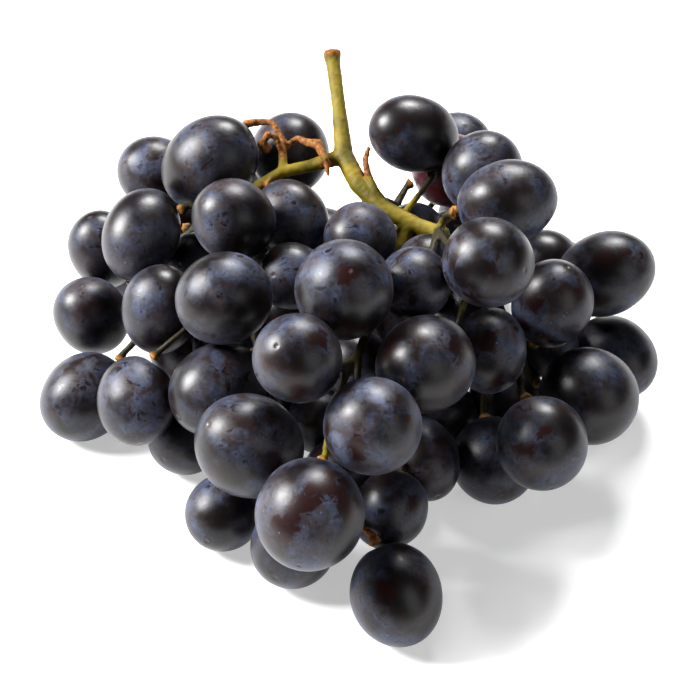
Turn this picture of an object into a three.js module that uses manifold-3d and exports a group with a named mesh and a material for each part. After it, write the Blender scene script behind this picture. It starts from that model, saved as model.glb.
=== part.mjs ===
// A cut bunch of dark table grapes, lying on a flat surface.
// Millimetres, +Z up. The viewer stands in front, towards -Y, and looks down on the bunch.
import * as THREE from "three";
import { mergeVertices } from "three/addons/utils/BufferGeometryUtils.js";
import Module from "manifold-3d";

const wasm = await Module();
wasm.setup();

// The view that the places of the berries were read in.
const VIEW_TILT = THREE.MathUtils.degToRad(42); // how far the viewer looks down
const VIEW_DISTANCE = 560; // from the eye to the middle of the bunch
const MIDDLE = new THREE.Vector3(0, 0, 36);
const RIGHT = new THREE.Vector3(1, 0, 0);
const UPWARD = new THREE.Vector3(0, Math.sin(VIEW_TILT), Math.cos(VIEW_TILT));
const TOWARDS = new THREE.Vector3(0, -Math.cos(VIEW_TILT), Math.sin(VIEW_TILT));
const EYE = MIDDLE.clone().addScaledVector(TOWARDS, VIEW_DISTANCE);

// How the berries lie together.
const SKIN_GAP = 0.4; // between neighbours
const MUTUAL_PRESS = 1.5; // how far berries that press together go into each other
const PRESS = 0.6; // how far a berry's weight flattens it on the surface
const BERRY_SIDES = 12;
const BERRY_RINGS = 7;
const HIDDEN_SIDES = 10; // of the berries that are glimpsed or behind
const HIDDEN_RINGS = 5;
const FACET_SWELL = 1.01; // so that the facets lie half in and half out of the round skin
const STEM_END_FLAT = 0.97; // the stem end is a little flatter than the blossom end

// How the berries come to rest, round by round.
const SETTLE_ROUNDS = 900;
const PULLED_ROUNDS = 540; // in these, berries are drawn back to the places that are listed below
const PULL = 0.03; // the part of the way back that a berry goes in a round
const LONGEST_MOVE = 1.5; // along the line of sight, in a round
const LEAST_DEPTH = 1; // between the middles of two berries of which one is the nearer
const BESIDE = 0.75; // berries lie side by side where this part of their distance is sideways

// The stems.
const PEDICEL_RADIUS = 0.9;
const LOAD_POWER = 0.3; // a stem thickens with the number of berries that it feeds
const STEM_GAP = 0.45; // between a stem and a berry's skin
const LEAST_STEM_GAP = 0.25; // where a stem is cut clear of a berry's facets
const RECEPTACLE_RADIUS = 1.9; // the swelling that a berry sits on
const RECEPTACLE_LENGTH = 2.2;
const THINNEST_STEM = 0.5; // the least radius, between two berries
const STALK_SIDES = 8;
const STEM_SIDES = 5;
const STRAIGHTNESS = 0.9; // a stem's facets stay this near to its own curve

// Berries that can be seen, from the back of the bunch to the front. Each row holds:
// across and up from the middle of the view, the distance nearer than the middle,
// the length and the width of the berry as they look at the middle's distance,
// the direction of its stem end in the view (degrees anticlockwise from the right),
// and the degrees by which the stem end turns away from the viewer.
const ON_TABLE = null; // in place of a distance: the berry rests on the surface
const SEEN = [
  // the back of the right shoulder
  [27, 50.5, -58, 18, 17.5, 250, 60],
  [51, 19.5, -46, 18, 17, 200, 30],
  [25, 45, -44, 19.5, 18.5, 180, 5],
  [16, 28.7, -31, 17, 16.5, 0, 50],
  [16, 54, -27, 24, 19, 350, 30],
  [33.2, 44.2, -25, 22, 20, 240, 40],
  [48.5, 21.5, -30, 18, 17.5, 200, 30],
  // the back of the left shoulder
  [-48.3, 44.3, -46, 20.5, 18.3, 340, 40],
  [-15, 49, -44, 21, 19.5, 270, 30],
  [-61.5, 25, -44, 21, 17.5, 290, 40],
  [-35.2, 46.5, -28, 27, 22, 220, 25],
  // under the stalk
  [2.5, 28, -16, 19, 18, 40, 50],
  [-14.7, 33, -20, 21, 18, 125, 10],
  [19.5, 20.5, -13, 17.5, 17, 60, 40],
  [-14.5, 18.5, -16, 17.5, 17, 0, 60],
  [-37.5, 21, -26, 18, 17.5, 0, 60],
  // the left flank
  [-52, 29, -27, 25, 19.5, 72, 25],
  [-64.5, 8.5, -36, 20.5, 18.5, 310, 25],
  [-29, 32.5, -6, 22, 20.5, 330, 40],
  [-47.5, 10, -14, 23, 19, 262, 25],
  [-66.2, -11.5, ON_TABLE, 24, 21, 47, 15],
  [-41, -22, ON_TABLE, 19, 18.5, 45, 40],
  [-53.5, -12.5, -6, 23, 19.5, 97, 20],
  [-31.4, 13, 4, 24.5, 23, 18, 8],
  [-32.8, -9.8, 0, 26.5, 22.8, 35, 30],
  // the right flank
  [65.8, -1.8, -30, 24, 20, 140, 40],
  [63.5, 19, -22, 26, 21, 200, 20],
  [39, 37, -4, 25.5, 21, 192, 8],
  [34.5, 22, 12, 23.5, 22.5, 165, 40],
  [35, 0, 2, 22.5, 18.5, 85, 25],
  [50.5, 11.5, -2, 23.5, 20.5, 250, 35],
  [59.5, -11.5, -6, 25.5, 24.5, 165, 20],
  [36, -27.5, ON_TABLE, 22.5, 21.5, 100, 40],
  [48, -23, 2, 24, 23, 100, 20],
  // the middle and the front
  [16, 16.5, 4, 19.5, 18.5, 60, 50],
  [1.5, -3.5, 4, 18, 17.5, 60, 60],
  [-1.5, 15, 20, 27.5, 25, 250, 70],
  [19, -3.5, 18, 28, 24.5, 30, 60],
  [18.3, -27, 2, 22.5, 17.8, 110, 30],
  [10, -39.8, 14, 21, 18.8, 60, 30],
  [-31.5, -40.5, ON_TABLE, 20.5, 19, 60, 40],
  [-14, -48.5, ON_TABLE, 23, 21.5, 60, 40],
  [-13, -2, 20, 23.5, 22.5, 330, 60],
  [-25, -24, 4, 29, 26, 330, 40],
  [5.5, -19, 25, 25.5, 24.5, 200, 60],
  [-10, -41, 8, 29, 27.5, 78, 30],
  [11.5, -61, ON_TABLE, 26.5, 23, 104, 10],
];

// Berries that only darken the gaps between those, as [across, up, nearer, width]. Those of a
// group press together, one to the next.
const GLIMPSED = [
  [[-16, 9, -25, 20]],
  [[25.5, 26, -47, 20]],
  [[-43.5, 1.5, -28, 18], [-29, 1, -15, 19]],
  [[23, -17, -20, 18.5], [39.5, -12, -24, 20], [50.5, 1.5, -24, 17]],
  [[-22, -10.5, -14, 17], [-9, -17.5, -11, 17.5], [-2, -31.5, -2, 21.5]],
  [[8, 6, -14, 19.5], [26.5, 7.5, -19, 20]],
];

// Berries behind and below all those: tight clusters, pressed together, that grow round these places.
const CLUSTER_HOMES = [[38, 60, 12], [-50, 60, 12], [-28, 60, 12], [4, 44, 16]];
const CLUSTER_BERRIES = 5;
const CLUSTER_TRIES = 6000;
const CLUSTER_SPREAD = 18; // the first berry is no further from home, and the others less than twice
const CLUSTER_WIDTH = [18.5, 21.5]; // the smallest and the largest berry
const SEED = 11;
const CORE = new THREE.Vector3(0, 15, 38); // the middle of the stems, which stem ends point to
const COVER = 0.93; // the part of a seen berry's outline that surely hides what is behind it
const ROUNDING = 0.01;

// Stems that can be seen, as [across, up, nearer, radius] from root to tip.
const STALK = [
  [-4.5, 74.5, -36, 2.5],
  [-4.2, 71.5, -35, 1.9],
  [-2.8, 61, -30, 1.8],
  [-1.5, 48.5, -25, 2.5],
  [2.2, 41.5, -22, 2.5],
  [8.5, 35.2, -19, 2.4],
  [17, 31, -16, 2.1],
  [24, 28.5, -13, 2.1],
];
const LEFT_ARM = [
  [-1.5, 48.5, -25, 2.1],
  [-10, 46, -26, 1.6],
  [-17, 44.5, -26, 1.5],
  [-23, 41, -24, 1.5],
  [-27.5, 36, -22, 1.4],
];
// Dried stems that have lost their berries.
const BARE_STEMS = [
  [[-16.8, 44.5, -26, 1.3], [-16.8, 52.5, -28, 0.8], [-19.5, 57, -30, 0.8], [-22.5, 57, -31, 0.9],
    [-26.5, 56.5, -30, 1.1]],
  [[-16.8, 49, -27, 0.8], [-18.5, 53.3, -25.5, 0.8], [-20.5, 54, -25, 0.9], [-22, 51.5, -26, 1.4],
    [-20.3, 49.8, -27, 1.4]],
  [[-16.8, 50.5, -27.5, 0.8], [-13, 53, -28, 0.8], [-10.5, 51.8, -26, 1], [-8, 51.5, -24, 1.4],
    [-6, 47.5, -21.5, 0.9], [-5.4, 43.5, -21, 0.4]],
  [[8.5, 36, -19.5, 1.6], [6.3, 40, -19, 0.9], [4.3, 44.5, -20, 0.9], [3.8, 47.5, -21, 0.8],
    [4.8, 50.8, -23, 0.5]],
];

function seenPlace([across, up, nearer]) {
  const onPlane = MIDDLE.clone().addScaledVector(RIGHT, across).addScaledVector(UPWARD, up);
  return onPlane.sub(EYE).multiplyScalar((VIEW_DISTANCE - nearer) / VIEW_DISTANCE).add(EYE);
}

function seenDirection(lean, turnedAway) {
  const angle = THREE.MathUtils.degToRad(lean);
  const away = THREE.MathUtils.degToRad(turnedAway);
  return new THREE.Vector3()
    .addScaledVector(RIGHT, Math.cos(away) * Math.cos(angle))
    .addScaledVector(UPWARD, Math.cos(away) * Math.sin(angle))
    .addScaledVector(TOWARDS, -Math.sin(away));
}

// A small seeded generator, so that each build gives the same bunch.
function randomFrom(seed) {
  let state = seed;
  return () => {
    state = (state * 1664525 + 1013904223) % 4294967296;
    return state / 4294967296;
  };
}

// Berries

const UP = new THREE.Vector3(0, 0, 1);
const SOME_WAY = new THREE.Vector3(0.3, 0.5, 0.8); // any direction that no stem or berry points in

// The half thickness of an egg-shaped berry along a direction.
function reach(berry, direction) {
  const along = berry.axis.dot(direction) ** 2;
  return Math.sqrt(berry.wide ** 2 + (berry.long ** 2 - berry.wide ** 2) * along);
}

function restingHeight(berry) {
  return reach(berry, UP) - PRESS;
}

function setOnSightLine(berry) {
  berry.centre = seenPlace([berry.across, berry.up, berry.nearer]);
  const scale = (VIEW_DISTANCE - berry.nearer) / VIEW_DISTANCE;
  berry.long = (berry.length / 2) * scale;
  berry.wide = (berry.width / 2) * scale;
}

function keepAboveSurface(berry) {
  for (let pass = 0; pass < 4; pass += 1) {
    const missing = restingHeight(berry) - berry.centre.z;
    if (missing > 0 || berry.rests) {
      berry.nearer += missing / (EYE.z - berry.centre.z) * VIEW_DISTANCE;
      setOnSightLine(berry);
    }
  }
}

function seenBerry([across, up, nearer, length, width, lean, turnedAway]) {
  const berry = {
    seen: true, across, up, nearer: nearer ?? 0, wanted: nearer, length, width,
    rests: nearer === ON_TABLE, axis: seenDirection(lean, turnedAway),
  };
  setOnSightLine(berry);
  keepAboveSurface(berry);
  return berry;
}

// Where the line of sight through a point crosses the plane of the view.
function placeInView(point) {
  const fromEye = point.clone().sub(EYE);
  const scale = VIEW_DISTANCE / -fromEye.dot(TOWARDS);
  return new THREE.Vector2(fromEye.dot(RIGHT) * scale, fromEye.dot(UPWARD) * scale);
}

// Whether seen berries that are nearer cover the whole outline of a berry.
function isCovered(berry, seen) {
  const nearer = seen.filter((other) => other.centre.dot(TOWARDS) > berry.centre.dot(TOWARDS));
  const outline = Array.from({ length: 12 }, (_, index) => {
    const angle = index / 12 * 2 * Math.PI;
    return berry.centre.clone().addScaledVector(RIGHT, berry.long * Math.cos(angle))
      .addScaledVector(UPWARD, berry.long * Math.sin(angle));
  });
  return outline.every((point) => {
    const place = placeInView(point);
    return nearer.some((other) => (
      Math.hypot(place.x - other.across, place.y - other.up) < other.width / 2 * COVER));
  });
}

// Whether two berries follow each other in a group.
function arePressed(first, second) {
  return first.group !== undefined && first.group === second.group
    && Math.abs(first.order - second.order) === 1;
}

function overlap(first, second) {
  const between = second.centre.clone().sub(first.centre);
  const distance = between.length();
  const direction = between.divideScalar(distance);
  const gap = arePressed(first, second) ? -MUTUAL_PRESS : SKIN_GAP;
  return reach(first, direction) + reach(second, direction) + gap - distance;
}

function roundBerry(centre, width) {
  const half = width / 2;
  const axis = CORE.clone().sub(centre).normalize();
  return { seen: false, centre, home: centre.clone(), long: half, wide: half, axis };
}

function glimpsedGroup(rows, group) {
  const facets = { sides: HIDDEN_SIDES, rings: HIDDEN_RINGS };
  return rows.map(([across, up, nearer, width], order) => (
    { ...roundBerry(seenPlace([across, up, nearer]), width), group, order, ...facets }));
}

// A direction that rises by no less than the given height.
function randomDirection(least, random) {
  const height = Math.max(2 * random() - 1, least);
  const turn = 2 * Math.PI * random();
  const level = Math.sqrt(1 - height ** 2);
  return new THREE.Vector3(level * Math.cos(turn), level * Math.sin(turn), height);
}

// Each berry of a cluster takes the free and covered place nearest to the cluster's home. A place
// below the surface is brought up to where the berry rests.
function growCluster(home, others, covers, random) {
  const members = [];
  for (let count = 0; count < CLUSTER_BERRIES; count += 1) {
    let best = null;
    for (let trial = 0; trial < CLUSTER_TRIES; trial += 1) {
      const width = THREE.MathUtils.lerp(...CLUSTER_WIDTH, random());
      const from = members[Math.floor(random() * members.length)];
      const distance = from ? from.wide + width / 2 - MUTUAL_PRESS : CLUSTER_SPREAD * random();
      const start = from?.centre ?? home;
      const least = (width / 2 - PRESS - start.z) / distance;
      const centre = start.clone().addScaledVector(randomDirection(least, random), distance);
      const berry = roundBerry(centre, width);
      const value = centre.distanceTo(home);
      if (least < 1 && value < (best?.value ?? 2 * CLUSTER_SPREAD)
        && others.every((other) => overlap(berry, other) <= 0)
        && members.every((other) => overlap(berry, other) < MUTUAL_PRESS + SKIN_GAP + ROUNDING)
        && isCovered(berry, covers)) {
        best = { ...berry, value, sides: HIDDEN_SIDES, rings: HIDDEN_RINGS };
      }
    }
    if (best) {
      members.push(best);
    }
  }
  return members;
}

// Pushes two berries apart, or draws them together where they press. Seen berries move along
// their lines of sight, so that they look the same, and hidden berries give way to them.
function separate(first, second) {
  const crossing = overlap(first, second);
  if (crossing <= 0 && !arePressed(first, second)) {
    return;
  }
  const between = second.centre.clone().sub(first.centre);
  const distance = between.length();
  const direction = between.clone().divideScalar(distance);
  if (!second.seen) {
    const share = first.seen ? 1 : 0.5;
    second.centre.addScaledVector(direction, crossing * share);
    if (!first.seen) {
      first.centre.addScaledVector(direction, -crossing * share);
    }
    return;
  }
  const free = [first, second].filter((berry) => !berry.rests);
  if (free.length === 0) {
    shift(first, direction.clone().multiplyScalar(-crossing / 2));
    shift(second, direction.clone().multiplyScalar(crossing / 2));
    return;
  }
  const depth = between.dot(TOWARDS);
  const sideways = Math.sqrt(Math.max(distance ** 2 - depth ** 2, 0));
  const beside = Math.abs(depth) > LEAST_DEPTH && sideways > BESIDE * (distance + crossing);
  const sign = beside ? Math.sign(depth) : 1;
  const full = Math.sqrt(Math.max((distance + crossing) ** 2 - sideways ** 2, 0)) - sign * depth;
  for (const berry of free) {
    berry.nearer += (berry === second ? sign : -sign) * Math.min(full / free.length, LONGEST_MOVE);
    setOnSightLine(berry);
  }
}

function shift(berry, move) {
  if (berry.seen) {
    berry.across += move.dot(RIGHT);
    berry.up += move.dot(UPWARD);
    berry.nearer += move.dot(TOWARDS);
    setOnSightLine(berry);
  } else {
    berry.centre.add(move);
  }
}

// Keeps a berry off the stems that can be seen.
function keepOffStem(berry, ball) {
  const between = berry.centre.clone().sub(ball.centre);
  const distance = between.length();
  const direction = between.clone().divideScalar(distance);
  const missing = reach(berry, direction) + ball.radius + STEM_GAP - distance;
  if (missing > 0) {
    const sight = TOWARDS.clone().multiplyScalar(Math.sign(between.dot(TOWARDS)));
    shift(berry, (berry.seen ? sight : direction).multiplyScalar(missing));
  }
}

function settle(berries, balls) {
  for (let round = 0; round < SETTLE_ROUNDS; round += 1) {
    const pull = round < PULLED_ROUNDS ? PULL : 0;
    for (const berry of berries) {
      if (berry.seen && !berry.rests) {
        berry.nearer += (berry.wanted - berry.nearer) * pull;
        setOnSightLine(berry);
      } else if (!berry.seen) {
        berry.centre.lerp(berry.home, pull / 2);
      }
    }
    for (let i = 0; i < berries.length; i += 1) {
      for (let j = i + 1; j < berries.length; j += 1) {
        separate(berries[i], berries[j]);
      }
    }
    for (const berry of berries) {
      balls.forEach((ball) => keepOffStem(berry, ball));
      if (berry.seen) {
        keepAboveSurface(berry);
      } else {
        berry.centre.z = Math.max(berry.centre.z, restingHeight(berry));
      }
    }
  }
}

function ballsAlong(rows) {
  return rows.slice(1).flatMap((end, index) => {
    const start = rows[index];
    const parts = 4;
    return Array.from({ length: parts }, (_, part) => {
      const row = start.map((value, column) => THREE.MathUtils.lerp(value, end[column], part / parts));
      return { centre: seenPlace(row), radius: row[3] };
    });
  });
}

const balls = [STALK, LEFT_ARM, ...BARE_STEMS].flatMap(ballsAlong);
const seenBerries = SEEN.map(seenBerry);
settle(seenBerries, balls);
const groups = GLIMPSED.map(glimpsedGroup);
const loose = [...seenBerries, ...groups.flat()];
settle(loose, balls);
const random = randomFrom(SEED);
const clusters = [];
for (const home of CLUSTER_HOMES) {
  const others = [...loose, ...clusters.flat()];
  clusters.push(growCluster(new THREE.Vector3(...home), others, seenBerries, random));
}
const berries = [...loose, ...clusters.flat()];

// Closed solids

// Joins the vertices that a geometry repeats along its seams, and leaves out flat triangles.
function solidOf(geometry) {
  const bare = geometry.clone();
  bare.deleteAttribute("normal");
  bare.deleteAttribute("uv");
  const merged = mergeVertices(bare, 1e-4);
  const index = Array.from(merged.index.array);
  const triangles = [];
  for (let first = 0; first < index.length; first += 3) {
    const corners = index.slice(first, first + 3);
    if (new Set(corners).size === 3) {
      triangles.push(...corners);
    }
  }
  return new wasm.Manifold(new wasm.Mesh({
    numProp: 3,
    vertProperties: Float32Array.from(merged.attributes.position.array),
    triVerts: Uint32Array.from(triangles),
  }));
}

function geometryOf(solid) {
  const mesh = solid.getMesh();
  const geometry = new THREE.BufferGeometry();
  geometry.setAttribute("position", new THREE.BufferAttribute(mesh.vertProperties, 3));
  geometry.setIndex(new THREE.BufferAttribute(mesh.triVerts, 1));
  geometry.computeVertexNormals();
  return geometry;
}

// From a berry turned about its own Y axis, stem end up, to its place in the bunch.
function berryPlace({ centre, axis }) {
  const turn = new THREE.Quaternion().setFromUnitVectors(new THREE.Vector3(0, 1, 0), axis);
  return new THREE.Matrix4().compose(centre, turn, new THREE.Vector3(1, 1, 1));
}

// A berry in its place, larger by the given growth all round.
function berryInPlace(berry, growth = 0) {
  const { sides = BERRY_SIDES, rings = BERRY_RINGS } = berry;
  const long = berry.long * FACET_SWELL + growth;
  const wide = berry.wide * FACET_SWELL + growth;
  const profile = Array.from({ length: rings + 1 }, (_, ring) => {
    const angle = Math.PI * ring / rings;
    const height = -long * Math.cos(angle);
    return new THREE.Vector2(wide * Math.sin(angle), height > 0 ? height * STEM_END_FLAT : height);
  });
  profile[0].x = 0;
  profile[rings].x = 0;
  return new THREE.LatheGeometry(profile, sides).applyMatrix4(berryPlace(berry));
}

// Stems

const STEP = 1.25; // between the points of the lattice that stems find their way in
const ROOM = 1.25; // the least distance from a stem's middle line to a berry's skin
const CAP = 6; // distances above this count as this
const SIGHT = 22; // how far from a stem the berries that hide it are counted
const CROWD = 5; // this many berries hide a stem
const TIGHT_COST = 2; // of a way with a room of 1 mm
const WIDE = 3; // more room than this makes a way no cheaper
const COST_STEP = 0.25; // ways whose costs differ by less count as equal
const SLANT_COST = 0.5; // of each degree between a berry's stem end and where its stem reaches it
const MOST_SLANT = 80;
const SMOOTH_ROUNDS = 60;
const SMOOTH_PUSH = 0.6; // the part of the missing room that a stem is pushed off a berry in a round
const margin = new THREE.Vector3(8, 8, 0);
const lattice = new THREE.Box3();
for (const { centre, long } of berries) {
  lattice.expandByPoint(centre.clone().addScalar(long));
  lattice.expandByPoint(centre.clone().addScalar(-long));
}
lattice.min.sub(margin).setZ(0);
lattice.max.add(margin).addScaledVector(UP, 4);
const counts = lattice.getSize(new THREE.Vector3()).divideScalar(STEP).ceil().addScalar(1);
const total = counts.x * counts.y * counts.z;

function cellAt(point) {
  const at = point.clone().sub(lattice.min).divideScalar(STEP).round();
  return at.x + counts.x * (at.y + counts.y * at.z);
}

function pointAt(cell) {
  const x = cell % counts.x;
  const y = Math.floor(cell / counts.x) % counts.y;
  const z = Math.floor(cell / (counts.x * counts.y));
  return new THREE.Vector3(x, y, z).multiplyScalar(STEP).add(lattice.min);
}

// The distance from a point to a berry's skin, below zero inside it.
function skinDistance(point, { centre, axis, long, wide }) {
  const offset = point.clone().sub(centre);
  const along = offset.dot(axis);
  const across = Math.sqrt(Math.max(offset.lengthSq() - along ** 2, 0));
  const level = Math.hypot(along / long, across / wide);
  const slope = Math.hypot(along / long ** 2, across / wide ** 2);
  return slope > 0 ? level * (level - 1) / slope : -wide;
}

function roomAt(point, but = null) {
  return berries.reduce((least, berry) => (
    berry === but ? least : Math.min(least, skinDistance(point, berry))), CAP);
}

// The lattice's distance to the nearest skin, and how many berries stand round each point.
function surveyLattice() {
  const room = new Float32Array(total).fill(CAP);
  const crowd = new Uint8Array(total);
  for (const berry of berries) {
    const at = berry.centre.clone().sub(lattice.min);
    const low = at.clone().addScalar(-SIGHT).divideScalar(STEP).ceil().max(new THREE.Vector3());
    const high = at.addScalar(SIGHT).divideScalar(STEP).floor().min(counts.clone().subScalar(1));
    for (let z = low.z; z <= high.z; z += 1) {
      for (let y = low.y; y <= high.y; y += 1) {
        for (let x = low.x; x <= high.x; x += 1) {
          const cell = x + counts.x * (y + counts.y * z);
          const point = pointAt(cell);
          room[cell] = Math.min(room[cell], skinDistance(point, berry), point.z);
          crowd[cell] += point.distanceTo(berry.centre) < SIGHT ? 1 : 0;
        }
      }
    }
  }
  return { room, crowd };
}

// Finds the cheapest way from every lattice point to the main stems. Ways are dearer where they
// are tight, and where few berries stand round them.
function flood(sources) {
  const { room, crowd } = surveyLattice();
  const cost = new Float32Array(total).fill(Infinity);
  const next = new Int32Array(total).fill(-1);
  const neighbours = [];
  for (const x of [-1, 0, 1]) {
    for (const y of [-1, 0, 1]) {
      for (const z of [-1, 0, 1]) {
        const length = Math.hypot(x, y, z);
        if (length > 0) {
          neighbours.push({ step: x + counts.x * (y + counts.y * z), length });
        }
      }
    }
  }
  const queue = [];
  const add = (cell, value, from) => {
    if (value < cost[cell]) {
      cost[cell] = value;
      next[cell] = from;
      const place = Math.floor(value / COST_STEP);
      queue[place] ??= [];
      queue[place].push(cell);
    }
  };
  sources.forEach((point) => add(cellAt(point), 0, -1));
  for (let place = 0; place < queue.length; place += 1) {
    for (const cell of queue[place] ?? []) {
      if (Math.floor(cost[cell] / COST_STEP) === place) {
        for (const { step, length } of neighbours) {
          const other = cell + step;
          if (other >= 0 && other < total && room[other] >= ROOM) {
            const tight = TIGHT_COST / Math.min(room[other], WIDE);
            const bare = Math.max(CROWD - crowd[other], 0);
            add(other, cost[cell] + length * (1 + tight + bare), cell);
          }
        }
      }
    }
    queue[place] = null;
  }
  return { cost, next };
}

// Where a berry's stem reaches it: near the berry's own stem end, on the side that is open.
function stemEnd(berry, cost) {
  const side = SOME_WAY.clone().cross(berry.axis).normalize();
  let best = { value: Infinity };
  for (let tilt = 0; tilt <= MOST_SLANT; tilt += 10) {
    for (let turn = 0; turn < 360; turn += 30) {
      const direction = berry.axis.clone()
        .applyAxisAngle(side, THREE.MathUtils.degToRad(tilt))
        .applyAxisAngle(berry.axis, THREE.MathUtils.degToRad(turn));
      const along = direction.dot(berry.axis) ** 2;
      const radius = 1 / Math.sqrt(along / berry.long ** 2 + (1 - along) / berry.wide ** 2);
      const base = berry.centre.clone().addScaledVector(direction, radius + RECEPTACLE_LENGTH);
      const value = cost[cellAt(base)] + tilt * SLANT_COST;
      if (value < best.value) {
        const seat = berry.centre.clone().addScaledVector(direction, radius + STEM_GAP);
        best = { value, seat, base };
      }
    }
  }
  return best;
}

function stemRadius(load) {
  return PEDICEL_RADIUS * load ** LOAD_POWER;
}

// Follows the ways of all berries to the main stems. Those from the furthest berries are traced
// first, and the others join them.
function traceStems(sources) {
  const { cost, next } = flood(sources);
  const ends = berries.map((berry) => ({ berry, ...stemEnd(berry, cost) }));
  ends.sort((first, second) => second.value - first.value);
  const nodes = new Map();
  for (const source of sources) {
    nodes.set(cellAt(source), { point: source.clone(), fixed: true, load: 0, linked: [] });
  }
  const chains = ends.map(({ berry, seat, base }) => {
    const chain = [];
    let cell = cellAt(base);
    while (!nodes.has(cell)) {
      const node = { point: pointAt(cell), fixed: chain.length === 0, load: 0, linked: [] };
      nodes.set(cell, node);
      chain.push(node);
      cell = next[cell];
    }
    chain.push(nodes.get(cell));
    chain.slice(1).forEach((node, index) => {
      node.linked.push(chain[index]);
      chain[index].linked.push(node);
    });
    for (let at = cell; at !== -1; at = next[at]) {
      nodes.get(at).load += 1;
    }
    chain.slice(0, -1).forEach((node) => { node.load += 1; });
    return { berry, seat, chain };
  });
  return { chains, nodes: [...nodes.values()] };
}

// Draws the stems taut, and holds them off the berries.
function smoothStems(nodes) {
  for (let round = 0; round < SMOOTH_ROUNDS; round += 1) {
    for (const { point, fixed, load, linked } of nodes) {
      if (!fixed && linked.length > 0) {
        const middle = linked.reduce((sum, other) => sum.add(other.point), new THREE.Vector3());
        point.lerp(middle.divideScalar(linked.length), 0.5);
        const wanted = stemRadius(load) + STEM_GAP;
        for (const berry of berries) {
          const missing = wanted - skinDistance(point, berry);
          if (missing > 0) {
            const away = point.clone().sub(berry.centre).normalize();
            point.addScaledVector(away, missing * SMOOTH_PUSH);
          }
        }
        point.z = Math.max(point.z, wanted);
      }
    }
  }
}

// A round stem through the given points, with its own radius at each: a cylinder bent along them.
function stemGeometry(points, radii, sides) {
  const last = points.length - 1;
  const curve = new THREE.CatmullRomCurve3(points);
  let side = SOME_WAY;
  const rings = points.map((centre, index) => {
    const tangent = curve.getTangent(index / last);
    side = side.clone().addScaledVector(tangent, -side.dot(tangent)).normalize();
    return { centre, side, across: side.clone().cross(tangent), radius: radii[index] };
  });
  const geometry = new THREE.CylinderGeometry(1, 1, 1, sides, last);
  const places = geometry.attributes.position;
  for (let vertex = 0; vertex < places.count; vertex += 1) {
    const ring = rings[Math.round((places.getY(vertex) + 0.5) * last)];
    const place = ring.centre.clone()
      .addScaledVector(ring.side, places.getX(vertex) * ring.radius)
      .addScaledVector(ring.across, places.getZ(vertex) * ring.radius);
    places.setXYZ(vertex, place.x, place.y, place.z);
  }
  return geometry;
}

function stemThrough(rows) {
  return stemGeometry(rows.map(seenPlace), rows.map((row) => row[3]), STALK_SIDES);
}

// The few points of a way that are needed to follow it closely.
function thinned(way) {
  const line = new THREE.Line3(way[0].point, way.at(-1).point);
  const bends = way.map(({ point }) => (
    line.closestPointToPoint(point, true, new THREE.Vector3()).distanceTo(point)));
  const widest = Math.max(...bends);
  if (widest < STRAIGHTNESS) {
    return [way[0], way.at(-1)];
  }
  const corner = bends.indexOf(widest);
  return [...thinned(way.slice(0, corner + 1)), ...thinned(way.slice(corner)).slice(1)];
}

// The stem of one berry, from the swelling under the berry to the stem that it joins.
function chainGeometry({ berry, seat, chain }) {
  const kept = thinned(chain);
  const points = [seat, ...kept.map((node) => node.point)];
  const radii = kept.map((node) => {
    const free = roomAt(node.point) - STEM_GAP;
    return Math.max(Math.min(stemRadius(node.load), free), THINNEST_STEM);
  });
  const seatRoom = roomAt(seat, berry) - STEM_GAP;
  return stemGeometry(points, [Math.min(RECEPTACLE_RADIUS, seatRoom), ...radii], STEM_SIDES);
}

function rachisGeometry() {
  const sources = [...ballsAlong(STALK.slice(3)), ...ballsAlong(LEFT_ARM)].map(({ centre }) => centre);
  const { chains, nodes } = traceStems(sources);
  smoothStems(nodes);
  const stems = [STALK, LEFT_ARM, ...BARE_STEMS].map(stemThrough).concat(chains.map(chainGeometry));
  const joined = wasm.Manifold.union(stems.map(solidOf));
  const room = berries.map((berry) => solidOf(berryInPlace(berry, LEAST_STEM_GAP)));
  const parts = joined.subtract(wasm.Manifold.union(room)).decompose();
  // The berries cut off only slivers: the whole rachis is the largest part.
  return geometryOf(parts.sort((first, second) => second.volume() - first.volume())[0]);
}

// The bunch

const DARK_SKIN = { color: 0x23232e, roughness: 0.4 };
const RED_SKIN = { color: 0x6e2f52, roughness: 0.35 };
const STEM_BARK = { color: 0x9a9a3c, roughness: 0.6 };
const RED_BERRY = 2; // the third of the seen berries is the only reddish one

const surfaceBlock = new THREE.BoxGeometry(300, 300, 20).translate(0, 0, -10);

// Berries that press into each other are one solid, flattened where it rests.
function berryMesh(pressed, name, skin) {
  const joined = wasm.Manifold.union(pressed.map((berry) => solidOf(berryInPlace(berry))));
  const geometry = geometryOf(joined.subtract(solidOf(surfaceBlock)));
  const place = berryPlace(pressed[0]);
  geometry.applyMatrix4(place.clone().invert());
  const mesh = new THREE.Mesh(geometry, new THREE.MeshStandardMaterial(skin));
  mesh.name = name;
  mesh.applyMatrix4(place);
  return mesh;
}

const rachis = new THREE.Mesh(rachisGeometry(), new THREE.MeshStandardMaterial(STEM_BARK));
rachis.name = "rachis";
const bunch = new THREE.Group();
bunch.add(rachis);
const singles = [...seenBerries, ...groups.filter((group) => group.length === 1).flat()];
singles.forEach((berry, index) => {
  const name = `berry_${String(index + 1).padStart(2, "0")}`;
  bunch.add(berryMesh([berry], name, index === RED_BERRY ? RED_SKIN : DARK_SKIN));
});
groups.filter((group) => group.length > 1).forEach((group, index) => {
  bunch.add(berryMesh(group, `berries_inside_${index + 1}`, DARK_SKIN));
});
clusters.forEach((cluster, index) => {
  bunch.add(berryMesh(cluster, `berries_behind_${index + 1}`, DARK_SKIN));
});

// The origin is under the middle of the bunch, on the surface.
const extent = new THREE.Box3().setFromObject(bunch, true);
const middle = extent.getCenter(new THREE.Vector3());
bunch.position.set(-middle.x, -middle.y, 0);

export default bunch;
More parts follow.
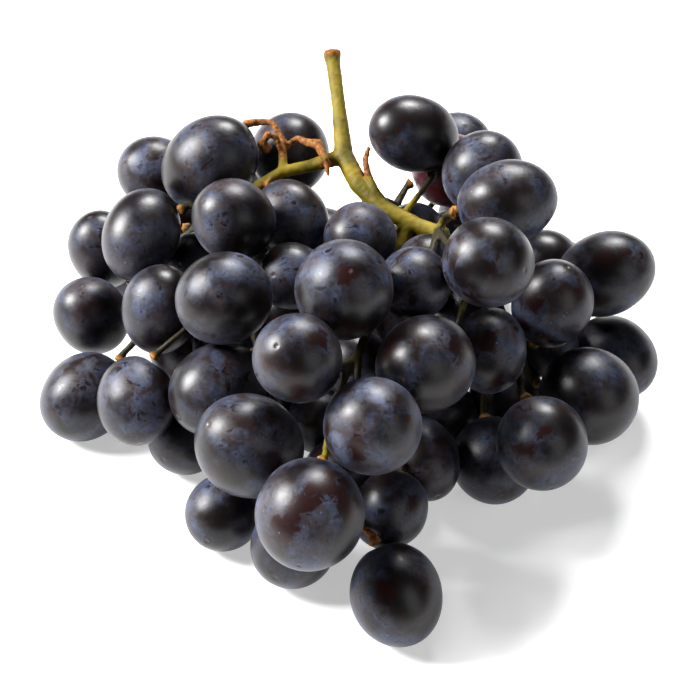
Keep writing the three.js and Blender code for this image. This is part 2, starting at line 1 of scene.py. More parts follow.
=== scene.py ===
"""Looks of a cut bunch of dark table grapes that lies on a pale surface.

Metres, +Z up. Lengths that are given in millimetres are multiplied by MM.
"""
import math
import random

import bpy
import numpy as np
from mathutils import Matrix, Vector, noise


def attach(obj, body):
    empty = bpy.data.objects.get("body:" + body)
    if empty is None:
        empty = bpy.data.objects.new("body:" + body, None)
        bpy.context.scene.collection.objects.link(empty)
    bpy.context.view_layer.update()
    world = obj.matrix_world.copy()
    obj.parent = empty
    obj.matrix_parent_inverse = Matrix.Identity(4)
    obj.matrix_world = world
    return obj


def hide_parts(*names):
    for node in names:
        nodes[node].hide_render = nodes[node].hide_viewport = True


MM = 0.001

# The view of the photograph: how far the viewer looks down, and from how far.
VIEW_TILT = math.radians(42)
VIEW_DISTANCE = 560 * MM
MIDDLE = np.array([-0.01, -12.0, 36]) * MM  # what the viewer looks at
RIGHT = np.array([1, 0, 0])
UPWARD = np.array([0, math.sin(VIEW_TILT), math.cos(VIEW_TILT)])
TOWARDS = np.array([0, -math.cos(VIEW_TILT), math.sin(VIEW_TILT)])
EYE = MIDDLE + TOWARDS * VIEW_DISTANCE
SENSOR = 36  # mm
LENS = 115.2  # mm, which shows 175 mm across at the middle of the bunch

# How the solids of the berries are faceted: how many rings of facets there are where a given
# number of facets meet at a berry's round end.
RINGS = {12: 7, 10: 5}
FACET_SWELL = 1.01  # the corners lie this much outside the true skin, since the facets cut in
RING_EVENNESS = 0.02  # how much the edges round an end differ in length
OPPOSITE = -0.99  # cosine between the inward ways of the two ends of a berry
OFF_AXIS = 0.3  # mm, how far one end may lie beside the other's axis
WIDTH_SLACK = 0.1  # mm, between the widths that the two ends of a berry give
ENDS_SPAN = 0.985  # the stem end is a little flatter than the blossom end
CUT_OFF_BELOW = 0.05 * MM  # corners below this lie on the flat spots
CORNER_SLACK = 0.3 * MM  # between a corner and the ball that it belongs to
LEAST_CORNERS = 10  # for a ball
FITS = 600  # balls that are tried, each through four corners
BERRY_RADII = [8 * MM, 13 * MM]
SEAT_REACH = 0.9 * MM  # from a berry's skin to the seat of its stem
SEAT_SLACK = 0.2 * MM
SEAT_WIDTH = 3 * MM

SEED = 7


# Reading the berries from their solids

def corners_of(node):
    """Each corner of a solid, once, with the corners that it shares an edge with."""
    points = [tuple(round(value / MM, 3) for value in vertex.co) for vertex in node.data.vertices]
    joined = {}
    for polygon in node.data.polygons:
        keys = {points[index] for index in polygon.vertices}
        for key in keys:
            joined.setdefault(key, set()).update(keys - {key})
    return joined


def round_ends(node):
    """The ends of a solid's berries, where many facets meet in a point."""
    ends = []
    for corner, around in corners_of(node).items():
        point, ring = np.array(corner), np.array(list(around))
        reach = np.linalg.norm(ring - point, axis=1)
        if len(around) in RINGS and reach.std() < RING_EVENNESS * reach.mean():
            middle = ring.mean(axis=0)
            inward = (middle - point) / np.linalg.norm(middle - point)
            wide = np.linalg.norm(ring - middle, axis=1).mean()
            wide /= math.sin(math.pi / RINGS[len(around)])
            ends.append({"point": point, "inward": inward, "wide": wide / FACET_SWELL})
    return ends


def ball_through(points):
    """The middle and radius of the ball that fits points best."""
    rows = np.column_stack([2 * points, np.ones(len(points))])
    fit = np.linalg.lstsq(rows, (points ** 2).sum(axis=1), rcond=None)[0]
    return fit[:3], math.sqrt(max(fit[3] + fit[:3] @ fit[:3], 0))


def cut_berries(node, berries, dice):
    """Berries of a pressed group whose ends are both cut away, found from the corners left over."""
    corners = np.array([vertex.co for vertex in node.data.vertices])
    corners = np.unique(corners[corners[:, 2] > CUT_OFF_BELOW].round(6), axis=0)
    found = []
    while True:
        left = corners
        for berry in berries + found:
            left = left[skin_distance(left, berry) > 2 * CORNER_SLACK]
        best = left[:0]
        for _ in range(FITS if len(left) >= LEAST_CORNERS else 0):
            middle, radius = ball_through(left[dice.sample(range(len(left)), 4)])
            off = np.abs(np.linalg.norm(left - middle, axis=1) - radius)
            near = left[off < CORNER_SLACK]
            if BERRY_RADII[0] < radius < BERRY_RADII[1] and len(near) > len(best):
                best = near
        if len(best) < LEAST_CORNERS:
            return found
        middle, radius = ball_through(best)
        found.append({"middle": middle, "axis": np.array([0, 0, 1.0]),
                      "wide": radius / FACET_SWELL, "long": radius / FACET_SWELL})


def berries_of(node):
    """Pairs the ends that belong to one berry, and measures the berry from them."""
    berries = []
    ends = round_ends(node)
    while ends:
        end = ends.pop(0)
        middle = end["point"] + end["inward"] * end["wide"] * ENDS_SPAN * FACET_SWELL
        mates = [other for other in ends if end["inward"] @ other["inward"] < OPPOSITE
                 and np.linalg.norm(np.cross(other["point"] - end["point"], end["inward"])) < OFF_AXIS
                 and abs(end["wide"] - other["wide"]) < WIDTH_SLACK]
        berry = {"middle": middle, "axis": end["inward"], "wide": end["wide"], "long": end["wide"]}
        if mates:
            mate = mates[0]
            ends = [other for other in ends if other is not mate]
            span = np.linalg.norm(mate["point"] - end["point"])
            berry["middle"] = (end["point"] + mate["point"]) / 2
            berry["long"] = span / 2 / ENDS_SPAN / FACET_SWELL
        berries.append({key: value * MM if key != "axis" else value for key, value in berry.items()})
    if len(berries) > 1:
        berries += cut_berries(node, berries, random.Random(SEED))
    return berries


def skin_distance(points, berry):
    """How far points are from a berry's skin, below zero inside it."""
    offset = points - berry["middle"]
    along = offset @ berry["axis"]
    across = np.sqrt(np.maximum((offset ** 2).sum(axis=1) - along ** 2, 0))
    level = np.hypot(along / berry["long"], across / berry["wide"])
    slope = np.hypot(along / berry["long"] ** 2, across / berry["wide"] ** 2)
    return level * (level - 1) / np.maximum(slope, 1e-9)


def find_stem_end(berry, stem_points):
    """Points a berry at its own stem: the stem's nearest points close to either end of the berry."""
    distance = skin_distance(stem_points, berry)
    near = stem_points[distance < max(SEAT_REACH, distance.min() + SEAT_SLACK)]
    towards = (near - berry["middle"]) / np.linalg.norm(near - berry["middle"], axis=1)[:, None]
    first = near[np.argmax(np.abs(towards @ berry["axis"]))]
    group = near[np.linalg.norm(near - first, axis=1) < SEAT_WIDTH]
    direction = group.mean(axis=0) - berry["middle"]
    berry["stem"] = direction / np.linalg.norm(direction)
    if berry["axis"] @ berry["stem"] < 0:
        berry["axis"] = -berry["axis"]


# Berries

SKIN_ROWS = 60  # from the stem end to the blossom end
SKIN_COLUMNS = 76
BACK_ROWS = 40
BACK_COLUMNS = 52
DIMPLE = 0.55 * MM  # how deep the skin dips round the stem
DIMPLE_WIDTH = 2.2 * MM
SCAR_WIDTH = 0.5 * MM  # of the brown dot that the flower left
SCAR_DEPTH = 0.25 * MM
UNEVENNESS = 0.12 * MM  # slow swells of the skin
SWELLS_ROUND = 2.2  # how many radians a swell turns in one radius
PRESSED_EDGE = 0.25 * MM  # how round the edge of a berry's flat spot is
RUB_REACH = 1.6 * MM  # neighbours that are nearer than this have wiped the bloom off
RUBBED_BARE = 0.3 * MM  # and nearer than this, all of it
NEIGHBOUR_REACH = 36 * MM  # between the middles of berries that can rub each other
STEM_END_REACH = [1.5 * MM, 3.5 * MM]  # the brown foot of the stem on the skin, and its soft edge
POLE_CROWDING = 0.3  # how much closer the rows of points are near both ends
HANDLED = [0.0, 0.2, 0.5, 0.9]  # how much of its bloom a berry lost to fingers

# Where the bloom of single berries is wiped off in crisp spots, as across, up and radius in
# millimetres in the view.
WIPED = {
    "berry_05": [(12, 54.8, 1)],
    "berry_27": [(63.8, 23.5, 2.5), (68, 24.3, 2.2)],
    "berry_30": [(34.3, 2.5, 3), (36.5, -7.3, 2.5)],
    "berry_31": [(43.5, 6.3, 2.6), (48.5, 3, 3), (46.3, 11.8, 2.4), (57.3, 13.8, 2.5)],
    "berry_34": [(49, -20, 2.1), (43.5, -24.8, 2.8)],
    "berry_37": [(-1, 18.8, 2.6), (-1, 5, 2.6), (4.5, 4, 2)],
    "berry_38": [(8, 0, 4), (18, 4, 2.4), (28.5, 0.5, 4)],
    "berry_40": [(16, -38.3, 2.2)],
    "berry_43": [(-21.3, -3.8, 1.6), (-8.5, 2.5, 2.6), (-13.8, -9.3, 3)],
    "berry_44": [(-18.8, -28.5, 3.4)],
    "berry_45": [(1.3, -25, 3.6), (14.5, -17, 1)],
    "berry_46": [(-17, -45.5, 4), (-14.5, -41.5, 4), (-11.5, -38, 3.6), (-8.5, -35, 3.2),
                 (-5.2, -33, 3.2), (-2, -34.5, 3.2), (-0.5, -38, 3), (0.2, -41.5, 2.4)],
    "berry_47": [(9, -60.8, 3), (13, -50, 2.6)],
}
# Where bloom is left in bright blue streaks, as across and up of both ends, and half the width.
STREAKS = {
    "berry_31": [(41.5, 10.5, 47, 6.2, 1.3), (47, 6.2, 54.5, 2.5, 1.3)],
    "berry_38": [(10.5, -8, 14, -12, 2)],
    "berry_45": [(5, -9.5, 9.8, -15, 1.8), (-3.5, -22, -1, -27, 1.6)],
}


def sight_of(points):
    """Where points are seen, across and up from the middle of the view, in millimetres."""
    from_eye = points - EYE
    scale = VIEW_DISTANCE / -(from_eye @ TOWARDS)
    return (from_eye @ RIGHT) * scale / MM, (from_eye @ UPWARD) * scale / MM


def depth_in_spots(points, spots):
    """How deep points lie in spots of the view: 1 in the middle, 0 at the edge, down to -1."""
    across, up = sight_of(points)
    depth = np.full(len(points), -1.0)
    for spot_across, spot_up, radius in spots:
        away = np.hypot(across - spot_across, up - spot_up)
        depth = np.maximum(depth, 1 - away / radius)
    return depth


def depth_in_streaks(points, streaks):
    """How deep points lie in streaks of the view: 1 on the middle line, 0 at the edge, down to -1."""
    sights = np.column_stack(sight_of(points))
    depth = np.full(len(points), -1.0)
    for *ends, half_width in streaks:
        start, end = np.array(ends[:2]), np.array(ends[2:])
        share = np.clip((sights - start) @ (end - start) / ((end - start) ** 2).sum(), 0, 1)
        away = np.linalg.norm(sights - start - share[:, None] * (end - start), axis=1)
        depth = np.maximum(depth, 1 - away / half_width)
    return depth


def smooth_step(values, low, high):
    """0 below the low value, 1 above the high one, and smooth between."""
    share = np.clip((values - low) / (high - low), 0, 1)
    return share * share * (3 - 2 * share)


def skin_directions(pole, rows, columns):
    """Directions all round a berry, closer together near the pole, and the faces between them."""
    side = np.cross(pole, (0.31, 0.52, 0.79))
    side /= np.linalg.norm(side)
    other = np.cross(pole, side)
    share = np.arange(1, rows) / rows
    tilt = math.pi * share - POLE_CROWDING * np.sin(2 * math.pi * share)
    turn = 2 * math.pi * np.arange(columns) / columns
    tilt, turn = np.meshgrid(tilt, turn, indexing="ij")
    level = np.sin(tilt)[..., None]
    ring = np.cos(turn)[..., None] * side + np.sin(turn)[..., None] * other
    rings = (np.cos(tilt)[..., None] * pole + level * ring).reshape(-1, 3)
    directions = np.vstack([rings, pole, -pole])
    start, end = len(rings), len(rings) + 1
    faces = []
    for row in range(rows - 2):
        for column in range(columns):
            first, second = row * columns + column, row * columns + (column + 1) % columns
            faces.append((first, first + columns, second + columns, second))
    for column in range(columns):
        after = (column + 1) % columns
        faces.append((start, column, after))
        faces.append((end, (rows - 2) * columns + after, (rows - 2) * columns + column))
    return directions, faces


def swells(directions, dice, count=9):
    """Slow, seeded swells over a berry, between about -1 and 1."""
    total = np.zeros(len(directions))
    for _ in range(count):
        way = np.array([dice.gauss(0, 1) for _ in range(3)])
        total += np.sin(directions @ way * SWELLS_ROUND + dice.uniform(0, 6.28)) / math.sqrt(count)
    return total


def shape_berry(name, berry, others, dice, rows, columns):
    """The skin of one berry: its points, faces and the values that its material reads."""
    directions, faces = skin_directions(berry["stem"], rows, columns)
    along = (directions @ berry["axis"]) ** 2
    radius = 1 / np.sqrt(along / berry["long"] ** 2 + (1 - along) / berry["wide"] ** 2)
    from_stem = np.arccos(np.clip(directions @ berry["stem"], -1, 1)) * berry["wide"]
    from_scar = np.arccos(np.clip(-(directions @ berry["axis"]), -1, 1)) * berry["wide"]
    radius += UNEVENNESS * swells(directions, dice)
    radius -= DIMPLE * np.exp(-(from_stem / DIMPLE_WIDTH) ** 2)
    radius -= SCAR_DEPTH * np.exp(-(from_scar / SCAR_WIDTH) ** 2)
    points = berry["middle"] + directions * radius[:, None]
    height = points[:, 2]
    points[:, 2] = (height + np.sqrt(height ** 2 + PRESSED_EDGE ** 2)) / 2
    nearest = np.full(len(points), 1.0)
    for other in others:
        apart = np.linalg.norm(other["middle"] - berry["middle"])
        if other is not berry and apart < NEIGHBOUR_REACH:
            nearest = np.minimum(nearest, skin_distance(points, other))
    values = {
        "rubbed": 1 - smooth_step(nearest, RUBBED_BARE, RUB_REACH),
        "wiped": depth_in_spots(points, WIPED.get(name, [])),
        "streaked": depth_in_streaks(points, STREAKS.get(name, [])),
        "scar": 1 - smooth_step(from_scar, 0.6 * SCAR_WIDTH, 1.2 * SCAR_WIDTH),
        "stem_end": 1 - smooth_step(from_stem, *STEM_END_REACH),
        "dusty": np.full(len(points), dice.uniform(0, 1)),
        "handled": np.full(len(points), dice.choice(HANDLED)),
    }
    return points, faces, values


def make_piece(name, parts, material):
    """Joins shapes into one smooth mesh object with their values as attributes."""
    points, faces, start = [], [], 0
    values = {}
    for part_points, part_faces, part_values in parts:
        points.append(part_points)
        faces += [tuple(index + start for index in face) for face in part_faces]
        start += len(part_points)
        for key, value in part_values.items():
            values.setdefault(key, []).append(value)
    mesh = bpy.data.meshes.new(name)
    mesh.from_pydata(np.vstack(points).tolist(), [], faces)
    for key, value in values.items():
        attribute = mesh.attributes.new(key, "FLOAT", "POINT")
        attribute.data.foreach_set("value", np.concatenate(value).astype(np.float32))
    mesh.polygons.foreach_set("use_smooth", [True] * len(mesh.polygons))
    mesh.materials.append(material)
    piece = bpy.data.objects.new(name, mesh)
    bpy.context.scene.collection.objects.link(piece)
    return piece


# Materials

def linear(code):
    """A linear colour from sRGB hex."""
    channels = [int(code[start:start + 2], 16) / 255 for start in (1, 3, 5)]
    return (*[c / 12.92 if c <= 0.04045 else ((c + 0.055) / 1.055) ** 2.4 for c in channels], 1)


def add(tree, kind, inputs=None, **settings):
    """Adds a node with its settings. Each input is linked to an output, or set to a value."""
    node = tree.nodes.new("ShaderNode" + kind)
    for key, value in settings.items():
        setattr(node, key, value)
    for key, value in (inputs or {}).items():
        if isinstance(value, bpy.types.NodeSocket):
            tree.links.new(value, node.inputs[key])
        else:
            node.inputs[key].default_value = linear(value) if isinstance(value, str) else value
    return node


def new_material(name):
    """An empty material and its node tree."""
    material = bpy.data.materials.new(name)
    material.use_nodes = True
    material.node_tree.nodes.clear()
    return material, material.node_tree


def grape_skin(name, bare, warm, bloom, thin_bloom, thick_bloom, translucent):
    """Skin of a ripe grape, grown with a thin layer of wax over it.

    The wax, called bloom, makes the dark skin dusty blue-grey and satin. Where neighbours and
    fingers wiped it off, the skin shows almost black and maroon, and shines.
    """
    material, tree = new_material(name)
    place = add(tree, "TexCoord").outputs["Object"]
    value = {key: add(tree, "Attribute", attribute_name=key).outputs["Fac"]
             for key in ("rubbed", "wiped", "streaked", "dusty", "handled", "scar", "stem_end")}
    clouds = add(tree, "TexNoise", {"Vector": place, "Scale": 85, "Detail": 4, "Roughness": 0.5})
    patches = add(tree, "TexNoise", {"Vector": place, "Scale": 150, "Detail": 6, "Distortion": 1.2})
    streaks = add(tree, "TexNoise", {"Vector": place, "Scale": 330, "Detail": 6, "Roughness": 0.65,
                                     "Distortion": 0.8})
    mottle = add(tree, "TexNoise", {"Vector": place, "Scale": 1100, "Detail": 4, "Roughness": 0.8})
    pores = add(tree, "TexVoronoi", {"Vector": place, "Scale": 330, "Randomness": 1})

    # Bloom in clouds some 12 mm wide, thinner on some berries, and smeared in streaks 3 mm wide.
    cloudy = add(tree, "MapRange", {"Value": clouds.outputs["Fac"], "From Min": 0.4, "From Max": 0.58,
                                    "To Min": 0.04, "To Max": 1})
    dusty = add(tree, "MapRange", {"Value": value["dusty"], "To Min": 0.55, "To Max": 1})
    smeared = add(tree, "MapRange", {"Value": streaks.outputs["Fac"], "From Min": 0.36,
                                     "From Max": 0.6, "To Min": 0.35, "To Max": 1})
    fine = add(tree, "MapRange", {"Value": mottle.outputs["Fac"], "From Min": 0.35, "From Max": 0.65,
                                  "To Min": 0.6, "To Max": 1})
    layer = add(tree, "Math", {0: cloudy.outputs[0], 1: dusty.outputs[0]}, operation="MULTIPLY")
    layer = add(tree, "Math", {0: layer.outputs[0], 1: smeared.outputs[0]}, operation="MULTIPLY")
    layer = add(tree, "Math", {0: layer.outputs[0], 1: fine.outputs[0]}, operation="MULTIPLY")

    # Fingers took it off in crisp patches, and neighbours where they touch.
    ragged = add(tree, "MapRange", {"Value": streaks.outputs["Fac"], "From Min": 0.3, "From Max": 0.7,
                                    "To Min": -0.8, "To Max": 0.8})
    spots = add(tree, "Math", {0: value["wiped"], 1: ragged.outputs[0]}, operation="ADD")
    spots = add(tree, "MapRange", {"Value": spots.outputs[0], "From Min": -0.1, "From Max": 0.25})
    hands = add(tree, "MapRange", {"Value": patches.outputs["Fac"], "From Min": 0.54, "From Max": 0.63})
    hands = add(tree, "Math", {0: hands.outputs[0], 1: value["handled"]}, operation="MULTIPLY")
    touch = add(tree, "Math", {0: value["rubbed"], 1: ragged.outputs[0]}, operation="ADD")
    touch = add(tree, "MapRange", {"Value": touch.outputs[0], "From Min": 0.2, "From Max": 0.55})
    gone = add(tree, "Math", {0: spots.outputs[0], 1: hands.outputs[0]}, operation="MAXIMUM")
    gone = add(tree, "Math", {0: gone.outputs[0], 1: touch.outputs[0]}, operation="MAXIMUM")
    left = add(tree, "MapRange", {"Value": gone.outputs[0], "To Min": 1, "To Max": 0.04})
    layer = add(tree, "Math", {0: layer.outputs[0], 1: left.outputs[0]}, operation="MULTIPLY")

    redness = add(tree, "MapRange", {"Value": patches.outputs["Fac"], "From Min": 0.52,
                                     "From Max": 0.75, "To Max": 0.6})
    redness = add(tree, "Math", {0: redness.outputs[0], 1: spots.outputs[0]}, operation="MAXIMUM")
    skin = add(tree, "Mix", {0: redness.outputs[0], 6: bare, 7: warm}, data_type="RGBA")
    age = add(tree, "MapRange", {"Value": patches.outputs["Fac"], "From Min": 0.35, "From Max": 0.6})
    wax = add(tree, "Mix", {0: age.outputs[0], 6: bloom, 7: thin_bloom}, data_type="RGBA")
    colour = add(tree, "Mix", {0: layer.outputs[0], 6: skin.outputs[2], 7: wax.outputs[2]},
                 data_type="RGBA")
    streak = add(tree, "Math", {0: value["streaked"], 1: ragged.outputs[0]}, operation="ADD")
    streak = add(tree, "MapRange", {"Value": streak.outputs[0], "From Min": -0.3, "From Max": 1,
                                    "To Max": 0.28})
    colour = add(tree, "Mix", {0: streak.outputs[0], 6: colour.outputs[2], 7: thick_bloom},
                 data_type="RGBA")
    # Pale pores, some 0.2 mm wide on the fruit and drawn 0.3 mm wide, so that they show.
    pore = add(tree, "MapRange", {"Value": pores.outputs["Distance"], "From Min": 0.05,
                                  "From Max": 0.1, "To Min": 0.35, "To Max": 0})
    few = add(tree, "MapRange", {"Value": clouds.outputs["Fac"], "From Min": 0.52, "From Max": 0.6})
    pore = add(tree, "Math", {0: pore.outputs[0], 1: few.outputs[0]}, operation="MULTIPLY")
    colour = add(tree, "Mix", {0: pore.outputs[0], 6: colour.outputs[2], 7: thick_bloom},
                 data_type="RGBA")
    foot = add(tree, "Math", {0: value["stem_end"], 1: 0.6}, operation="MULTIPLY")
    colour = add(tree, "Mix", {0: foot.outputs[0], 6: colour.outputs[2], 7: "#2a1a16"},
                 data_type="RGBA")
    colour = add(tree, "Mix", {0: value["scar"], 6: colour.outputs[2], 7: "#3e2c22"},
                 data_type="RGBA")

    shine = add(tree, "MapRange", {"Value": layer.outputs[0], "From Max": 0.8,
                                   "To Min": 0.33, "To Max": 0.54})
    sheen = add(tree, "MapRange", {"Value": layer.outputs[0], "To Min": 0.02, "To Max": 0.16})
    relief = add(tree, "Bump", {"Height": mottle.outputs["Fac"], "Strength": 0.5,
                                "Distance": 0.07 * MM})
    surface = add(tree, "BsdfPrincipled", {
        "Base Color": colour.outputs[2], "Roughness": shine.outputs[0], "IOR": 1.45,
        "Specular IOR Level": 0.37,
        "Sheen Weight": sheen.outputs[0], "Sheen Roughness": 0.35, "Sheen Tint": "#b9c6e6",
        "Subsurface Weight": translucent, "Subsurface Radius": (1.0, 0.3, 0.25),
        "Subsurface Scale": 3 * MM, "Normal": relief.outputs["Normal"]})
    add(tree, "OutputMaterial", {"Surface": surface.outputs["BSDF"]})
    return material


def green_stem(name):
    """Fresh grape stem, green and ridged, with bark that dried brown at the cut and at bare tips.

    Fine ridges run along it, and it is matt with a slight gloss where it is still green. Stems deep in
    the bunch get a painted shade, near black, except in spots where light falls through a gap.
    """
    material, tree = new_material(name)
    place = add(tree, "TexCoord").outputs["Object"]
    value = {key: add(tree, "Attribute", attribute_name=key).outputs["Fac"]
             for key in ("dry", "painted_shade", "seat")}
    clouds = add(tree, "TexNoise", {"Vector": place, "Scale": 160, "Detail": 4})
    fibres = add(tree, "TexNoise", {"Vector": place, "Scale": 900, "Detail": 4, "Roughness": 0.7})
    tone = add(tree, "MapRange", {"Value": clouds.outputs["Fac"], "From Min": 0.35, "From Max": 0.65})
    green = add(tree, "Mix", {0: tone.outputs[0], 6: "#4d4407", 7: "#786710"}, data_type="RGBA")
    # Painted shade: stems inside the bunch, away from the main stems, turn near black (#221d0b).
    shaded = add(tree, "Mix", {0: value["painted_shade"], 6: green.outputs[2], 7: "#221d0b"},
                 data_type="RGBA")
    tone = add(tree, "MapRange", {"Value": fibres.outputs["Fac"], "From Min": 0.35, "From Max": 0.65})
    brown = add(tree, "Mix", {0: tone.outputs[0], 6: "#3d1f0c", 7: "#94602c"}, data_type="RGBA")
    colour = add(tree, "Mix", {0: value["seat"], 6: shaded.outputs[2], 7: "#97652a"},
                 data_type="RGBA")
    colour = add(tree, "Mix", {0: value["dry"], 6: colour.outputs[2], 7: brown.outputs[2]},
                 data_type="RGBA")
    shine = add(tree, "MapRange", {"Value": value["dry"], "To Min": 0.55, "To Max": 0.75})
    relief = add(tree, "Bump", {"Height": fibres.outputs["Fac"], "Strength": 0.4,
                                "Distance": 0.25 * MM})
    surface = add(tree, "BsdfPrincipled", {
        "Base Color": colour.outputs[2], "Roughness": shine.outputs[0], "IOR": 1.45,
        "Specular IOR Level": 0.2, "Normal": relief.outputs["Normal"]})
    add(tree, "OutputMaterial", {"Surface": surface.outputs["BSDF"]})
    return material


def matt_paper(name):
    """Matt white paper, lit through from below, so that shadows on it stay faint."""
    material, tree = new_material(name)
    place = add(tree, "TexCoord").outputs["Object"]
    fibre = add(tree, "TexNoise", {"Vector": place, "Scale": 300, "Detail": 2})
    colour = add(tree, "Mix", {0: fibre.outputs["Fac"], 6: "#dadada", 7: "#dedede"},
                 data_type="RGBA")
    surface = add(tree, "BsdfPrincipled", {"Base Color": colour.outputs[2], "Roughness": 0.9,
                                           "Emission Color": "#ffffff", "Emission Strength": 0.45})
    add(tree, "OutputMaterial", {"Surface": surface.outputs["BSDF"]})
    return material


# The stem

STEM_VOXEL = 0.45 * MM
STEM_SMOOTHING = 5
FULLER = 0.12 * MM  # makes up for what the smoothing takes off
COARSE_BUMPS = [900, 0.1 * MM]  # how many to the metre, and how high
WARTS = [1700, 0.05 * MM, 0.3 * MM]  # to the metre, and how high on smooth and on rough bark
SEAT_SWELLING = [0.6 * MM, 2.2 * MM]  # off the berry's skin, full and faded out
SEAT_CONE = 0.96  # cosine from the way to a berry's stem end
LIGHT_REACH = [5 * MM, 11 * MM]  # off the main stems, before the painted shade begins and is full
SPOT_EDGE = [0.7, 1.3]  # of a spot's radius, where it begins to fade and ends
# Where the stem is dried and brown, as across, up and radius in millimetres in the view.
DRIED_SPOTS = [
    (-4.5, 75.5, 2.2), (-17, 50.5, 2.6), (-18, 54, 3), (-22, 56, 4.5), (-26, 56, 4), (-21, 51, 4),
    (-12, 52.5, 3.4), (-8, 51.5, 3.4), (-5.7, 46, 2), (-5.4, 43.5, 1.8), (4.2, 48.5, 3), (4.2, 45, 1.8),
    (5.5, -45, 3),
]
# Where light falls through a gap on a stem in the bunch, so the painted shade is left off, in the same
# measures.
LIT_SPOTS = [(-9, -20, 6), (26, 13, 4), (-8, -24, 4)]
# Along the stems that light reaches and that get no painted shade, as across, up and nearer in
# millimetres in the view.
MAIN_STEM = [
    (-4, 74, -36), (-3.5, 67, -33), (-2.8, 60, -30), (-2, 54, -27), (-1.5, 48.5, -25),
    (0.5, 45, -24), (2.2, 41.5, -22), (5.5, 38, -21), (8.5, 35.2, -19), (12.5, 33, -18),
    (17, 31, -16), (24, 28.5, -13), (-6, 47, -26), (-10, 46, -26), (-17, 44.5, -26),
    (-23, 41, -24), (-17, 50, -27), (-22, 55, -30), (-12, 52, -28), (-7, 49, -23),
    (4.3, 44.5, -20), (4, 49, -22),
]


def place_of(across, up, nearer):
    """The place of a point that is given in the view, in millimetres."""
    on_plane = MIDDLE + across * MM * RIGHT + up * MM * UPWARD
    return EYE + (on_plane - EYE) * (VIEW_DISTANCE - nearer * MM) / VIEW_DISTANCE


def smooth_stem(node):
    """The stem's solid with its facets rounded, as bark is."""
    work = bpy.data.objects.new("stem_work", node.data.copy())
    bpy.context.scene.collection.objects.link(work)
    remesh = work.modifiers.new("even", "REMESH")
    remesh.mode = "VOXEL"
    remesh.voxel_size = STEM_VOXEL
    smooth = work.modifiers.new("round", "SMOOTH")
    smooth.iterations = STEM_SMOOTHING
    evaluated = work.evaluated_get(bpy.context.evaluated_depsgraph_get())
    mesh = bpy.data.meshes.new_from_object(evaluated)
    points = np.zeros(len(mesh.vertices) * 3)
    mesh.vertices.foreach_get("co", points)
    normals = np.zeros(len(mesh.vertices) * 3)
    mesh.vertices.foreach_get("normal", normals)
    faces = [tuple(polygon.vertices) for polygon in mesh.polygons]
    bpy.data.objects.remove(work)
    bpy.data.meshes.remove(mesh)
    return points.reshape(-1, 3), normals.reshape(-1, 3), faces


def share_in_spots(points, spots):
    """How much points belong to soft spots of the view, from 0 to 1."""
    across, up = sight_of(points)
    share = np.zeros(len(points))
    for spot_across, spot_up, radius in spots:
        away = np.hypot(across - spot_across, up - spot_up) / radius
        share = np.maximum(share, 1 - smooth_step(away, *SPOT_EDGE))
    return share


def shape_stem(node, berries):
    """The stem with its swellings, warts and dried ends, and painted shade on stems deep in the bunch.
    """
    points, normals, faces = smooth_stem(node)
    dry, lit = share_in_spots(points, DRIED_SPOTS), share_in_spots(points, LIT_SPOTS)
    seat = np.full(len(points), 1.0)
    for berry in berries:
        near = points - berry["middle"]
        turned = near @ berry["stem"] / np.maximum(np.linalg.norm(near, axis=1), 1e-9)
        seat = np.minimum(seat, np.where(turned > SEAT_CONE, skin_distance(points, berry), 1.0))
    away = np.full(len(points), 1.0)
    for sight in MAIN_STEM:
        away = np.minimum(away, np.linalg.norm(points - place_of(*sight), axis=1))
    # Painted shade: full on stems away from the main ones, left off where light falls through a gap.
    painted_shade = smooth_step(away, *LIGHT_REACH) * (1 - lit)
    swelling = 1 - smooth_step(seat, *SEAT_SWELLING)
    coarse = np.array([noise.noise(Vector(point) * COARSE_BUMPS[0]) for point in points])
    warts = np.array([noise.noise(Vector(point) * WARTS[0]) for point in points])
    rough = np.maximum(dry, swelling)
    wart_height = WARTS[1] + WARTS[2] * rough
    push = FULLER + COARSE_BUMPS[1] * coarse + wart_height * np.maximum(warts, 0)
    values = {"dry": dry, "painted_shade": painted_shade, "seat": swelling}
    return points + normals * push[:, None], faces, values


# The scene

LIGHT_DISTANCE = 0.9  # metres, from the middle of the bunch
# Lights as a direction in the view (across, up, nearer), width and height in metres, and watts.
LIGHTS = {
    "window": ((-0.81, 0.5, 0.31), 0.36, 0.36, 30),
    "top": ((0.14, 0.98, -0.02), 0.3, 0.22, 13),
    "card": ((0.62, -0.09, 0.77), 0.5, 0.7, 1.9),
}
WORLD_LIGHT = 0.045
SURFACE_REACH = 6.0  # metres, from the middle to each side


def add_light(name, direction, width, height, power):
    """A soft light that faces the bunch from a direction of the view: across, up, nearer."""
    light = bpy.data.lights.new(name, "AREA")
    light.shape = "RECTANGLE"
    light.size = width
    light.size_y = height
    light.energy = power
    lamp = bpy.data.objects.new(name, light)
    bpy.context.scene.collection.objects.link(lamp)
    across, up, nearer = direction
    way = across * RIGHT + up * UPWARD + nearer * TOWARDS
    lamp.location = Vector(MIDDLE + way / np.linalg.norm(way) * LIGHT_DISTANCE)
    aim = Vector(MIDDLE) - lamp.location
    lamp.rotation_euler = aim.to_track_quat("-Z", "Y").to_euler()


def add_camera():
    """The camera, where the photograph was taken from."""
    camera = bpy.data.cameras.new("view")
    camera.sensor_width = SENSOR
    camera.lens = LENS
    viewer = bpy.data.objects.new("view", camera)
    viewer.location = Vector(EYE)
    viewer.rotation_euler = (math.pi / 2 - VIEW_TILT, 0, 0)
    bpy.context.scene.collection.objects.link(viewer)
    bpy.context.scene.camera = viewer


def add_surface(material):
    """The pale surface that the bunch lies on."""
    mesh = bpy.data.meshes.new("surface")
    reach = SURFACE_REACH
    corners = [(-reach, -reach, 0), (reach, -reach, 0), (reach, reach, 0), (-reach, reach, 0)]
    mesh.from_pydata(corners, [], [(0, 1, 2, 3)])
    mesh.materials.append(material)
    surface = bpy.data.objects.new("surface", mesh)
    bpy.context.scene.collection.objects.link(surface)


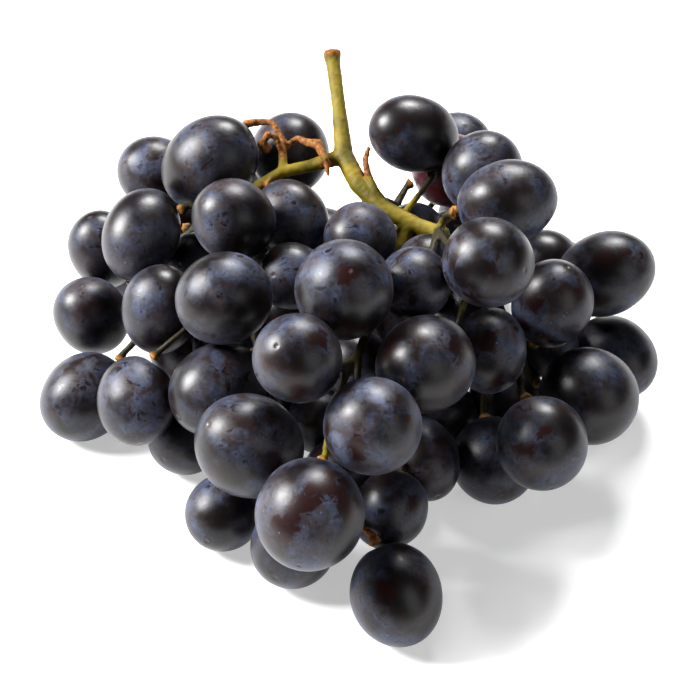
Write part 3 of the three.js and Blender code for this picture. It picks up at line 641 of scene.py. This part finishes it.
def light_scene():
    """Soft studio light: a window at the upper left, one from above, and a pale card."""
    scene = bpy.context.scene
    scene.view_settings.view_transform = "Standard"
    world = bpy.data.worlds.new("studio")
    world.use_nodes = True
    background = world.node_tree.nodes["Background"]
    background.inputs["Color"].default_value = linear("#ffffff")
    background.inputs["Strength"].default_value = WORLD_LIGHT
    scene.world = world
    for name, (direction, width, height, power) in LIGHTS.items():
        add_light(name, direction, width, height, power)


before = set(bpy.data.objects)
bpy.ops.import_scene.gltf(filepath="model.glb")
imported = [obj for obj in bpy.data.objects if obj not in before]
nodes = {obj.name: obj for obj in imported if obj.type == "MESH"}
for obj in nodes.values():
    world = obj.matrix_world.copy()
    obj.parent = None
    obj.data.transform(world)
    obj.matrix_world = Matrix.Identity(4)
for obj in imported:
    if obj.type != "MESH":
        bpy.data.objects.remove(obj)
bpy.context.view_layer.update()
dark_skin = grape_skin("black_grape_skin", "#080302", "#1d0604", "#4a5470", "#453d43",
                       "#7884a2", 0.0)
red_skin = grape_skin("red_grape_skin", "#470d12", "#86242a", "#75697f", "#6a5560",
                      "#b7a9bd", 0.35)

stem_node = nodes["rachis"]
stem_points = np.array([vertex.co for vertex in stem_node.data.vertices])
found = {}
for name, node in nodes.items():
    if name != "rachis":
        found[name] = berries_of(node)
every_berry = [berry for berries in found.values() for berry in berries]
for berry in every_berry:
    find_stem_end(berry, stem_points)

dice = random.Random(SEED)
for name, berries in found.items():
    if len(berries) == 1:
        rows, columns = SKIN_ROWS, SKIN_COLUMNS
    else:
        rows, columns = BACK_ROWS, BACK_COLUMNS
    parts = [shape_berry(name, berry, every_berry, dice, rows, columns) for berry in berries]
    red = name == "berry_03"
    piece = make_piece("grape_" + name.split("_", 1)[1], parts, red_skin if red else dark_skin)
    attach(piece, "root")
    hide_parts(name)

stem = make_piece("stem", [shape_stem(stem_node, every_berry)], green_stem("green_stem"))
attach(stem, "root")
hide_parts("rachis")

add_surface(matt_paper("matt_paper"))
light_scene()
add_camera()
